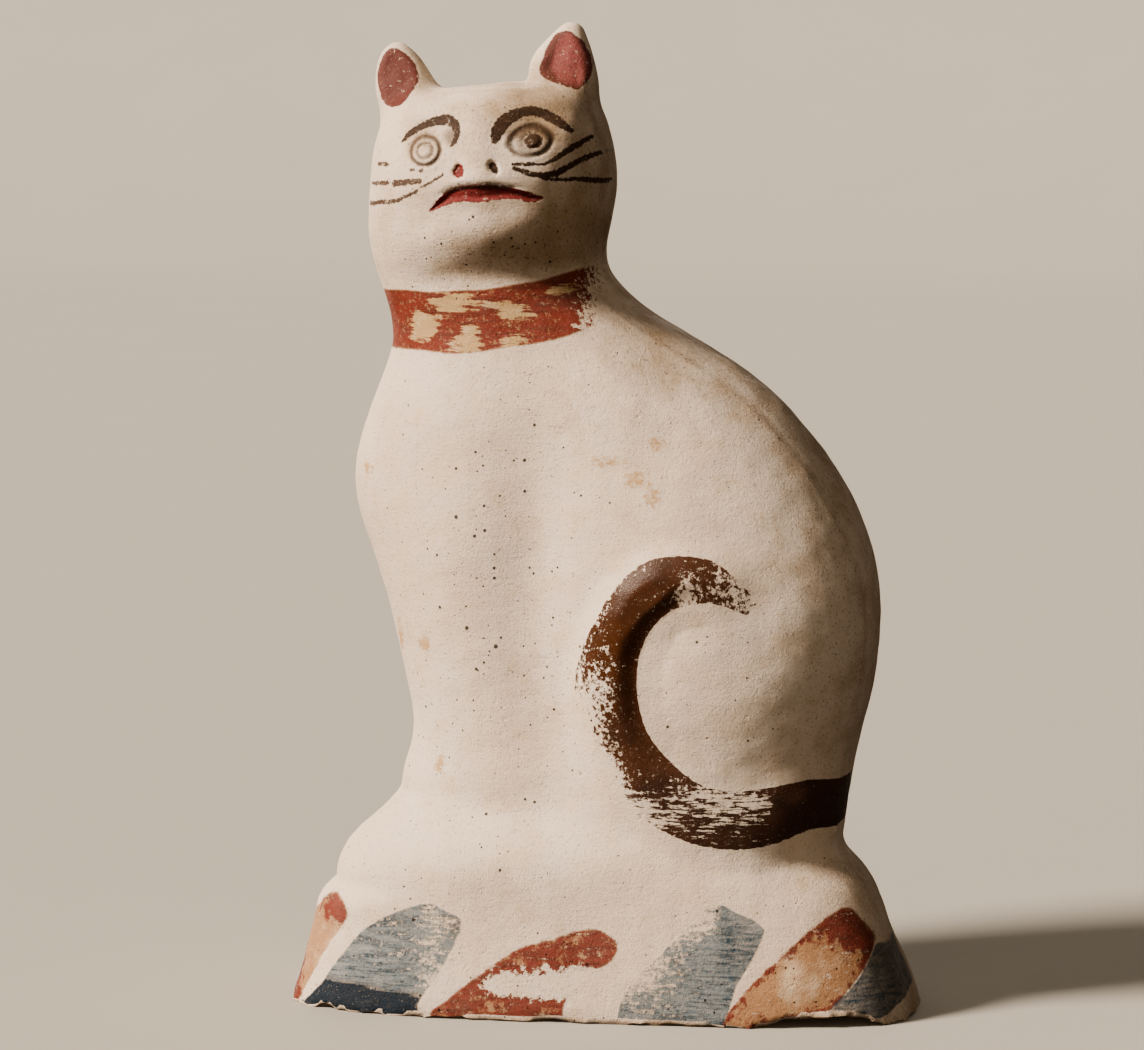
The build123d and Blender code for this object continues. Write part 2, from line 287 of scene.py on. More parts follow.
def curve(points, closed=False, steps=6):
    """A smooth line through the given points, which may carry a width."""
    points = np.array(points, dtype=float)
    if closed:
        points = np.concatenate([points[-1:], points, points[:2]])
    else:
        points = np.concatenate([points[:1] * 2 - points[1:2], points, points[-1:] * 2 - points[-2:-1]])
    out = []
    for a, b, c, d in zip(points, points[1:], points[2:], points[3:]):
        for i in range(steps):
            t = i / steps
            bend = (2 * a - 5 * b + 4 * c - d) * t * t + (3 * b - a - 3 * c + d) * t ** 3
            out.append(0.5 * (2 * b + (c - a) * t + bend))
    if not closed:
        out.append(points[-2])
    return np.array(out)


def shape(plane, outline):
    """How far inside an outline each point is, in millimetres: negative outside."""
    line = curve(outline, closed=True)
    low, high = line.min(0) + FAR_OUT, line.max(0) - FAR_OUT
    close = np.flatnonzero(((plane > low) & (plane < high)).all(1))
    p = plane[close]
    best = np.full(len(p), 1e9)
    odd = np.zeros(len(p), dtype=bool)
    for a, b in zip(line, np.roll(line, -1, axis=0)):
        ab = b - a
        t = np.clip(((p - a) @ ab) / max(ab @ ab, 1e-12), 0, 1)
        best = np.minimum(best, ((p - a - t[:, None] * ab) ** 2).sum(1))
        crosses = (a[1] > p[:, 1]) != (b[1] > p[:, 1])
        if crosses.any():
            at = a[0] + (p[:, 1] - a[1]) * ab[0] / (ab[1] if ab[1] else 1e-12)
            odd ^= crosses & (p[:, 0] < at)
    out = np.full(len(plane), FAR_OUT)
    out[close] = np.maximum(np.sqrt(best) * np.where(odd, 1, -1), FAR_OUT)
    return out


def stroke(plane, line):
    """How far inside a brush stroke each point is. The line's third value is the stroke's half width."""
    line = curve(line)
    out = np.full(len(plane), FAR_OUT)
    low, high = line[:, :2].min(0) + FAR_OUT, line[:, :2].max(0) - FAR_OUT
    close = np.flatnonzero(((plane > low) & (plane < high)).all(1))
    p = plane[close]
    best = np.full(len(p), FAR_OUT)
    for a, b in zip(line, line[1:]):
        ab = b[:2] - a[:2]
        t = np.clip(((p - a[:2]) @ ab) / max(ab @ ab, 1e-12), 0, 1)
        away = np.sqrt(((p - a[:2] - t[:, None] * ab) ** 2).sum(1))
        best = np.maximum(best, a[2] + (b[2] - a[2]) * t - away)
    out[close] = best
    return out


def blob(plane, x, z, wide, high):
    """1 in the middle of an oval, falling softly to nothing."""
    return np.exp(-((plane[:, 0] - x) / wide) ** 2 - ((plane[:, 1] - z) / high) ** 2)


def spread(plane, base, places):
    """A base amount with more or less of it in each of these ovals."""
    return base + sum(more * blob(plane, *place) for more, *place in places)


def waves(points, size, seed, count=9):
    """A gentle, seeded unevenness between about -1 and 1."""
    rng = np.random.default_rng(seed)
    total = np.zeros(len(points))
    for _ in range(count):
        way = rng.normal(size=3)
        way *= 2 * math.pi / (size * rng.uniform(0.7, 1.6)) / np.linalg.norm(way)
        total += np.sin(points @ way + rng.uniform(0, 2 * math.pi))
    return total / math.sqrt(count)


def ramp(value, low, high):
    """0 below low and 1 above high, eased between."""
    t = np.clip((value - low) / (high - low), 0, 1)
    return t * t * (3 - 2 * t)


def face_plane(points):
    """Across and up the leaning face, from its middle."""
    x, z = points[:, 0] - FACE[0], points[:, 2] - FACE[1]
    return np.stack([x * math.cos(HEAD_TILT) + z * math.sin(HEAD_TILT),
                     z * math.cos(HEAD_TILT) - x * math.sin(HEAD_TILT)], axis=1)


# ---------------------------------------------------------------- working the casting

def in_face(points, way):
    return (way[:, 1] < -0.15) & (points[:, 2] > 214) & (points[:, 1] < -8)


def in_fine_face(points, way):
    x, z = points[:, 0], points[:, 2]
    return in_face(points, way) & (z > 217) & (z < 250) & (x > -66) & (x < 2)


def in_tail(points, way):
    x, z = points[:, 0], points[:, 2]
    return (way[:, 1] < -0.1) & (points[:, 1] < -8) & (z > 40) & (z < 134) & (x > -12)


def work_body(points, near, far):
    """The broad forms: haunch, forelegs and paws, the base's ends and a hand-made unevenness."""
    plane = points[:, [0, 2]]
    x, z = plane.T
    push = 0.3 * waves(points, 60, 3) + 0.14 * waves(points, 20, 4) + 0.05 * waves(points, 7, 5)
    push += (near | far) * spread(plane, 0, BODY_FORMS)
    chest_end = ramp(-x, 50, 68)
    push -= 1.1 * chest_end * np.exp(-((z - 33.5) / 2.2) ** 2)
    push += 1.3 * chest_end * np.exp(-((z - 28) / 4) ** 2)
    return push - 1.3 * blob(plane, -54, 58, 7, 3.2)


def work_ears(points):
    """How far each point slides toward the chest, so that the ears stand on broad roots."""
    x, z = points[:, 0], points[:, 2]
    chest_ear = 1.9 * ramp(z, 241, 254) * ramp(-x, 42, 56)
    back_ear = 3.6 * ramp(z, 246, 254) * (1 - ramp(z, 258, 270)) * np.exp(-((x + 17.5) / 4.5) ** 2)
    back_tip = 1.6 * ramp(z, 252, 266) * ramp(x, -24, -14)
    return chest_ear + back_ear + back_tip


def work_head(points, near):
    """Muzzle, chin, brow hollows, eyes, nostrils, mouth and ear hollows, pressed into the near side."""
    plane = points[:, [0, 2]]
    face = face_plane(points)
    push = 1.1 * blob(face, 0, 1, 5.5, 13) + 1.5 * blob(face, 0, -5.5, 13, 5)
    push += 3.2 * blob(face, 3, -18.5, 20, 7.5) - 1.0 * blob(face, 2, -30, 30, 4)
    for side in (-1, 1):
        push += -2.2 * blob(face, side * 14.8, 9.0, 7.0, 5.0) + 1.0 * blob(face, side * 14.8, 15, 9, 2.4)
        push += 0.8 * blob(face, side * 19, -3, 8, 6)
    for x, z, wide, high in EYES.values():
        across = np.hypot((plane[:, 0] - x) / wide, (plane[:, 1] - z) / high)
        push += 1.5 * np.exp(-(across / 1.05) ** 2) - 0.45 * np.exp(-((across - 1.12) / 0.16) ** 2)
        push -= 0.45 * np.exp(-((across - 0.52) / 0.14) ** 2)
    mouth = shape(plane, MOUTH)
    push -= 1.0 * ramp(mouth, -0.1, 1.5)
    push -= 0.4 * np.exp(-((mouth + 0.2) / 0.6) ** 2) * ramp(face[:, 1], -8, -6.5)
    for hole in NOSTRILS:
        push -= 1.0 * ramp(shape(plane, hole), -0.6, 0.8)
    for name in EAR_PATCHES:
        push -= 1.9 * ramp(shape(plane, EAR_PATCHES[name]), -0.6, 4.0)
    return push * near


def tail_edges(plane):
    """How far inside the tail's outer edge each point is, and how far outside the flank it curls round."""
    outer = shape(plane, TAIL[:TAIL_TIP + 1] + [(64, 108), (78, 85)])
    flank = shape(plane, TAIL[TAIL_TIP:] + [(78, 85), (62, 108)])
    return outer, -flank


def work_tail(points, near):
    """The tail is a round roll that melts into the haunch, and steps down to the flank it curls round."""
    plane = points[:, [0, 2]]
    x, z = plane.T
    outer, beyond = tail_edges(plane)
    roll = (0.25 + 2.3 * ramp(z, 62, 92)) * (1 - 0.9 * ramp(x, 18, 40)) + 0.6 * ramp(x, 50, 62) * (z < 75)
    flank = 1.3 * blob(plane, 36, 90, 20, 22)
    return near * (roll * ramp(beyond, -0.2, 6.5) * ramp(outer, -5, 6) + flank)


def work_joint(points):
    """The joint shows as a low scraped ridge over the back, the chest, the ears and the base's ends."""
    away = points[:, 1] - np.polyval(JOINT, points[:, 2])
    x, z = points[:, 0], points[:, 2]
    lumps = np.clip(0.5 + 0.5 * waves(points, 26, 8), 0.1, 1.2)
    share = np.where(x > -10, 1.0, 0.35) * (1 - 0.8 * ramp(z, 196, 208) * (1 - ramp(z, 240, 250)))
    return share * (0.24 * np.exp(-(away / 1.0) ** 2) * lumps - 0.05 * np.exp(-((away - 2.2) / 1.3) ** 2))


def work_rim(points):
    """How much the resting rim is worn up: small breaks all round it."""
    level = points * [1, 1, 0]
    worn = np.clip(waves(level, 9, 12) - 0.35, 0, 2) * 1.1
    worn += np.clip(waves(level, 3.5, 13) - 0.5, 0, 2) * 0.5
    return worn * np.exp(-points[:, 2] / 1.6)


def work_inside(points):
    """Inside, the wall keeps the runs and ridges of the plaster that was poured out."""
    x, y, z = points.T
    runs = np.stack([x, y, z * 0.25], axis=1)
    return 0.5 * waves(runs, 14, 21) + 0.35 * waves(points, 7, 22)


def store(mesh, name, values):
    """Keeps one number per point on the mesh, for the paints to read."""
    layer = mesh.attributes.new(name, "FLOAT", "POINT")
    layer.data.foreach_set("value", values.astype(np.float32))


def collar_band(points):
    """How far inside the collar each point is. The band climbs toward the back of the neck."""
    x, z = points[:, 0], points[:, 2]
    upper = 197.2 + 0.0031 * np.clip(x + 50, 0, 80) ** 2 + 0.3 * np.sin(x / 3.7) * np.sin(x / 7.3)
    lower = 180.8 + 0.0040 * np.clip(x + 44, 0, 80) ** 2 + 0.25 * np.sin(x / 4.3 + 1)
    return np.maximum(np.minimum(upper - z, z - lower), FAR_OUT)


def widest(layers):
    """The most that any of these layers reaches at each point."""
    return np.max(layers, axis=0)


def painted_stripes(mesh, plane, near, far, on_near):
    """The slanting strokes round the base, where they are thick, and where they have worn."""
    x, z = plane.T
    mirror = np.stack([-x, z], axis=1)
    reds = [shape(plane, line) for line in STRIPES_RED]
    blues = [shape(plane, line) for line in STRIPES_BLUE]
    far_red = widest([shape(mirror, STRIPES_RED[1]), shape(mirror + [36, 0], STRIPES_RED[2])])
    far_blue = widest([shape(mirror, line) for line in STRIPES_BLUE])
    store(mesh, "red_stripe", np.where(far, far_red, on_near(widest(reds))))
    store(mesh, "blue_stripe", np.where(far, far_blue, on_near(widest(blues))))
    bare = widest([shape(plane, line) for line in RED_BARE])
    store(mesh, "red_bare", on_near(bare))
    rim = np.exp(-(np.clip(reds[2], 0, 9) / 2.4) ** 2)
    thick = (x < -60) * (blob(plane, -71, 28, 7, 5) + 0.9 * ramp(-x, 79, 85))
    thick += ((x > -60) & (x < 20)) * 0.72
    thick += (x > 20) * (0.65 * rim + 1.1 * blob(plane, 71, 26, 9, 7) + 0.4 * blob(plane, 46, 3, 6, 4))
    store(mesh, "red_thick", np.where(near, np.clip(thick, 0, 1.2), 0.55))
    worn = spread(plane, 0.32, BLUE_WORN) + (x > 55) * (0.15 * ramp(x, 78, 84) - 0.15)
    store(mesh, "blue_worn", np.where(near, worn, 0.45))
    deep = (x < 0) * ramp(-z - 0.1 * (x + 60), -8.6, -7.2) + (x > 55) * 0.62
    store(mesh, "blue_deep", np.where(near, deep + 0.35 * blob(plane, 42, 22, 5, 12), 0.3))


def painted_tail(mesh, plane, on_near):
    """The tail's brown, how much of it has flaked, and where it was burnished."""
    x, z = plane.T
    outer, beyond = tail_edges(plane)
    store(mesh, "tail", on_near(np.minimum(np.minimum(outer, beyond * 3), shape(plane, TAIL) * 3)))
    worn = spread(plane, 0.345, TAIL_WORN) - 0.5 * ramp(x, 48, 55) * (z < 75)
    worn += 0.06 * (shape(plane, TAIL) < 2) * (x < 20)
    store(mesh, "tail_worn", np.clip(worn, 0.0, 1.0))
    store(mesh, "tail_gloss", blob(plane, 7, 104, 14, 22) + 0.5 * blob(plane, 22, 122, 8, 6))
    store(mesh, "tail_low", ramp(-z, -70, -60))


def painted_face(mesh, points, plane, on_near):
    """Mouth, nostrils, ears, brows, whiskers and eyes."""
    mouth = shape(plane, MOUTH)
    store(mesh, "mouth", on_near(widest([mouth, shape(plane, NOSTRILS[0])])))
    ear_back = shape(plane, EAR_PATCHES["back"])
    store(mesh, "ear_red", on_near(widest([shape(plane, EAR_PATCHES["chest"]), ear_back])))
    pink = ear_back - 2.4 * ramp(-plane[:, 0], 11, 17) + 0.5
    store(mesh, "ear_pink", on_near(pink))
    x, z, wide, high = EYES["chest"]
    across = np.hypot((plane[:, 0] - x) / wide, (plane[:, 1] - z) / high)
    chest_eye = widest([0.62 - np.abs(across - 1.02) * 3.8, 0.42 - np.abs(across - 0.55) * 3.8])
    x, z = EYES["back"][:2]
    lid = shape(plane, LID)
    pupil = 2.3 - np.hypot((plane[:, 0] - x - 0.4) * 0.92, (plane[:, 1] - z + 0.1) * 1.2)
    upper = 0.5 + 0.5 * ramp(plane[:, 1], 236, 240)
    lines = [stroke(plane, line) for line in BROWS + WHISKERS] + [shape(plane, NOSTRILS[1]) - 0.3]
    store(mesh, "brown_line", on_near(widest(lines + [pupil])))
    store(mesh, "lid_line", on_near(upper - np.abs(lid)))
    store(mesh, "eye_wash", on_near(lid))
    # Painted shade: the hollows under the inner ends of the brows
    hollows = [blob(plane, -39.5, 239.6, 2.6, 3.2), 0.8 * blob(plane, -23.5, 240.8, 2.6, 2.4)]
    store(mesh, "brow_shade", on_near(widest(hollows)))
    store(mesh, "brown_faint", on_near(widest([stroke(plane, line) for line in CHEST_WHISKERS])))
    store(mesh, "eye_faint", on_near(chest_eye))
    lip = np.minimum(mouth + 0.5, 1.2 - mouth) - 3.0 * ramp(-face_plane(points)[:, 1], 6.4, 8.4)
    store(mesh, "lip", on_near(lip))


def weather_and_painted_shade(mesh, points, way, plane, near, away):
    """Where the plaster is stained, dirty or pitted, and where shade is painted into its colour."""
    x, z = plane.T
    stain = widest([1 - np.hypot((x - sx) / wide, (z - sz) / high) for sx, sz, wide, high in STAINS])
    store(mesh, "stain", np.where(near, stain, -1))
    face = face_plane(points)
    # This mask holds dirt and painted shade together; on the far side it grows darker up the head
    grime_and_shade = np.where(near, spread(face, 0, FACE_DIRT_AND_SHADE), 0.35 * ramp(z, 190, 250))
    # Painted shade: darker toward the back of the body, the side turned from the light
    grime_and_shade += 0.5 * ramp(x, 30, 78) * ramp(z, 40, 70) * (z < 215)
    grime_and_shade += 0.45 * ramp(way[:, 2], 0.3, 0.8) * ramp(x, -14, 16)
    # Painted shade in the creases and the valley behind the foreleg
    grime_and_shade += spread(plane, 0, BODY_CREASE_SHADE)
    # Darker along the joint, and darker towards the bottom rim
    grime_and_shade += 0.14 * np.exp(-(away / 2.5) ** 2) * ramp(z, 30, 60) + 0.4 * np.exp(-z / 5)
    # Painted shade on the base's right end, which turns from the light; darker also below the collar behind
    # the neck
    grime_and_shade += 0.45 * ramp(x, 62, 82) * (z < 60) + 0.25 * blob(plane, 10, 175, 26, 16) * near
    store(mesh, "grime_and_shade", np.clip(grime_and_shade, 0, 1))
    pits = 0.47 + 0.5 * blob(plane, -32, 112, 32, 62) * near + 0.7 * blob(face, -2, -22, 20, 8) * near
    pits += 0.3 * np.exp(-z / 32) + 0.2 * blob(plane, 40, 90, 24, 30)
    store(mesh, "pits", np.clip(pits, 0, 1))


def paints(mesh, outside):
    """Stores on the mesh where each paint lies, how worn it is, how the plaster has weathered, and where
    shade is painted into it.
    """
    points, way = coords(mesh), normals(mesh)
    plane = points[:, [0, 2]]
    away = points[:, 1] - np.polyval(JOINT, points[:, 2])
    near = outside & (way[:, 1] < 0.35) & (away < 14)
    far = outside & ~near

    def on_near(values):
        return np.where(near, values, FAR_OUT)

    store(mesh, "collar", np.where(outside, collar_band(points), FAR_OUT))
    store(mesh, "collar_worn", 0.28 + 0.42 * ramp(points[:, 0], -12, 5))
    store(mesh, "collar_ochre", on_near(widest([shape(plane, line) for line in COLLAR_OCHRE])))
    painted_stripes(mesh, plane, near, far, on_near)
    painted_tail(mesh, plane, on_near)
    painted_face(mesh, points, plane, on_near)
    weather_and_painted_shade(mesh, points, way, plane, near, away)
    store(mesh, "indoors", 1.0 - outside)


def cast():
    """The figure in one piece: skinned, evened, worked by hand and marked out for painting."""
    figure = even_skin("figure", ("near_half_shell", "far_half_shell", "joint_slip"), SKIN)
    mesh = figure.data
    relax(mesh, 10)
    outside = outer_skin(mesh)
    points, way = coords(mesh), normals(mesh)
    facing = outside & (way[:, 1] < 0.1)
    blank_tail = facing & (shape(points[:, [0, 2]], TAIL) > -6)
    relax(mesh, 60, 0.5, 0.0, blank_tail * 1.0)
    blank_face = facing & (points[:, 2] > 214) & (points[:, 2] < 250) & (points[:, 1] < -6)
    relax(mesh, 16, 0.5, 0.0, blank_face * 1.0)
    relax(mesh, 12, 0.5, 0.0, np.where(outside & (points[:, 2] > 238), 0.8, 0.0))
    for region in (in_face, in_tail, in_fine_face):
        refine(mesh, region)
        relax(mesh, 2)
    outside = outer_skin(mesh)
    points, way = coords(mesh), normals(mesh)
    away = points[:, 1] - np.polyval(JOINT, points[:, 2])
    near = outside & (way[:, 1] < 0.2) & (away < 4)
    far = outside & ~near
    push = work_body(points, near, far) * outside
    push += work_joint(points) * outside
    push += work_inside(points) * ~outside
    points = points + way * push[:, None]
    points[:, 0] -= work_ears(points)
    points[:, 2] = np.maximum(points[:, 2], 0) + work_rim(points)
    place(mesh, points)
    points, way = coords(mesh), normals(mesh)
    front = ramp(-way[:, 1], 0.05, 0.5)
    depth = work_head(points, near & (points[:, 2] > 196)) + work_tail(points, near)
    points[:, 1] -= depth * front
    place(mesh, points)
    relax(mesh, 1)
    low, high = (np.array(corner) / MM for corner in CAD_BOX)
    place(mesh, np.clip(coords(mesh), low, high))
    paints(mesh, outside)
    return figure


def part_of(figure, name, low, high):
    """The stretch of the casting between two distances from the joint, closed where it was parted."""
    bm = bmesh.new()
    bm.from_mesh(figure.data)
    for v in bm.verts:
        v.co.y -= np.polyval(JOINT, v.co.z / MM) * MM
    for limit, beyond in ((low, False), (high, True)):
        if limit is None:
            continue
        cut = bmesh.ops.bisect_plane(bm, geom=bm.verts[:] + bm.edges[:] + bm.faces[:], dist=1e-7,
                                     plane_co=(0, limit * MM, 0), plane_no=(0, 1, 0),
                                     clear_outer=beyond, clear_inner=not beyond)
        rim = [g for g in cut["geom_cut"] if isinstance(g, bmesh.types.BMEdge)]
        bmesh.ops.triangle_fill(bm, edges=rim, use_beauty=True, normal=(0, 1 if beyond else -1, 0))
    for v in bm.verts:
        v.co.y += np.polyval(JOINT, v.co.z / MM) * MM
    bmesh.ops.recalc_face_normals(bm, faces=bm.faces)
    piece = from_bmesh(name, bm)
    finish_piece(piece)
    return piece


def finish_piece(piece):
    piece.data.shade_smooth()
    piece.data.set_sharp_from_angle(angle=math.radians(48))


def smeared_bead(name, node, seed):
    """A bead of slip pressed over the joint inside with a thumb: soft edges, lumps and drag marks."""
    bead = even_skin(name, (node,), 0.9)
    relax(bead.data, 9, 0.5, 0.0)
    points, way = coords(bead.data), normals(bead.data)
    drag = np.stack([points[:, 0], points[:, 1] * 2.4, points[:, 2] * 0.35], axis=1)
    points += way * (0.35 * waves(points, 9, seed) + 0.3 * waves(drag, 6, seed + 1))[:, None]
    place(bead.data, points)
    finish_piece(bead)
    return bead


# ---------------------------------------------------------------- finishes

def linear(colour):
    """A paint given as 0 to 255 of red, green and blue, as the shader takes it."""
    shares = [c / 255 for c in colour]
    return [s / 12.92 if s <= 0.04 else ((s + 0.055) / 1.055) ** 2.4 for s in shares] + [1.0]


PLASTER_PALE = linear((232, 222, 207))
PLASTER_WARM = linear((220, 201, 170))
PLASTER_ROSE = linear((227, 213, 195))
PLASTER_STAIN = linear((186, 146, 88))
PLASTER_DUSKY_BROWN = linear((132, 108, 70))
PLASTER_DARK = linear((66, 50, 32))
PIT_DARK = linear((20, 14, 10))
COLLAR_RED = linear((110, 22, 16))
COLLAR_DEEP = linear((84, 20, 14))
OCHRE = linear((186, 154, 98))
EAR_RED = linear((84, 16, 14))
EAR_PINK = linear((128, 52, 54))
RED_GROUND = linear((158, 112, 66))
STRIPE_RED = linear((112, 36, 30))
STRIPE_DEEP = linear((84, 24, 20))
STRIPE_BLUE = linear((30, 82, 104))
STRIPE_TEAL = linear((14, 54, 72))
STRIPE_NAVY = linear((12, 30, 44))
TAIL_BROWN = linear((68, 38, 18))
TAIL_DARK = linear((38, 22, 13))
BROW_BROWN = linear((58, 38, 23))
FAINT_BROWN = linear((62, 38, 20))
EYE_GREY = linear((72, 56, 38))
MOUTH_RED = linear((112, 30, 32))
SLIP_RAW = linear((206, 192, 168))
SLIP_DUSTY = linear((158, 136, 104))


SHEEN = 0.2  # dry plaster and water paint hardly shine


class Finish:
    """One material in the making, with short ways to lay down its nodes and join them."""

    def __init__(self, name):
        self.material = bpy.data.materials.new(name)
        self.material.use_nodes = True
        self.nodes = self.material.node_tree.nodes
        self.links = self.material.node_tree.links
        self.shader = self.nodes["Principled BSDF"]
        self.where = self.nodes.new("ShaderNodeTexCoord").outputs["Object"]

    def feed(self, socket, value):
        if isinstance(value, bpy.types.NodeSocket):
            self.links.new(value, socket)
        else:
            socket.default_value = value

    def math(self, operation, *values, clamp=False):
        node = self.nodes.new("ShaderNodeMath")
        node.operation = operation
        node.use_clamp = clamp
        for socket, value in zip(node.inputs, values):
            self.feed(socket, value)
        return node.outputs[0]

    def add(self, *values):
        total = values[0]
        for value in values[1:]:
            total = self.math("ADD", total, value)
        return total

    def times(self, a, b):
        return self.math("MULTIPLY", a, b)

    def less(self, a, b):
        return self.math("SUBTRACT", a, b)

    def swing(self, value, width):
        """A noise between 0 and 1 turned into one that swings this wide about nothing."""
        return self.math("MULTIPLY_ADD", value, width, -width / 2)

    def step(self, value, low, high):
        """0 below low and 1 above high, eased between."""
        node = self.nodes.new("ShaderNodeMapRange")
        node.interpolation_type = "SMOOTHSTEP"
        self.feed(node.inputs["Value"], value)
        self.feed(node.inputs["From Min"], low)
        self.feed(node.inputs["From Max"], high)
        return node.outputs["Result"]

    def mix(self, share, a, b):
        node = self.nodes.new("ShaderNodeMix")
        node.data_type = "RGBA"
        self.feed(node.inputs[0], share)
        self.feed(node.inputs[6], a)
        self.feed(node.inputs[7], b)
        return node.outputs[2]

    def at(self, size, stretch=(1, 1, 1), shift=0.0):
        """The place on the piece, in steps of a size in millimetres."""
        node = self.nodes.new("ShaderNodeMapping")
        self.links.new(self.where, node.inputs["Vector"])
        node.inputs["Scale"].default_value = [1 / (size * MM * s) for s in stretch]
        node.inputs["Location"].default_value = (shift, shift * 0.7, -shift)
        return node.outputs["Vector"]

    def noise(self, size, detail=3.0, rough=0.55, stretch=(1, 1, 1), shift=0.0):
        node = self.nodes.new("ShaderNodeTexNoise")
        self.links.new(self.at(size, stretch, shift), node.inputs["Vector"])
        node.inputs["Scale"].default_value = 1.0
        node.inputs["Detail"].default_value = detail
        node.inputs["Roughness"].default_value = rough
        return node.outputs[0]

    def cells(self, size, shift=0.0):
        """Distance to the nearest of many scattered points, and a random number for each of them."""
        node = self.nodes.new("ShaderNodeTexVoronoi")
        self.links.new(self.at(size, shift=shift), node.inputs["Vector"])
        node.inputs["Scale"].default_value = 1.0
        split = self.nodes.new("ShaderNodeSeparateColor")
        self.links.new(node.outputs["Color"], split.inputs[0])
        return node.outputs["Distance"], split.outputs[0]

    def stored(self, name):
        node = self.nodes.new("ShaderNodeAttribute")
        node.attribute_name = name
        return node.outputs["Fac"]

    def holes(self, size, radius, share, shift):
        """Round pinholes of mixed sizes: 1 in a hole."""
        away, chance = self.cells(size, shift)
        radii = self.times(self.math("POWER", chance, 3.0), radius)
        radii = self.less(radii, self.math("MULTIPLY_ADD", share, -radius, radius * 0.92))
        return self.step(self.less(radii, away), 0.0, 0.035)

    def finish(self, colour, rough, height, sheen=SHEEN):
        self.shader.inputs["Specular IOR Level"].default_value = sheen
        self.feed(self.shader.inputs["Base Color"], colour)
        self.feed(self.shader.inputs["Roughness"], rough)
        bump = self.nodes.new("ShaderNodeBump")
        bump.inputs["Strength"].default_value = 1.0
        bump.inputs["Distance"].default_value = MM
        self.links.new(height, bump.inputs["Height"])
        self.links.new(bump.outputs["Normal"], self.shader.inputs["Normal"])
        return self.material


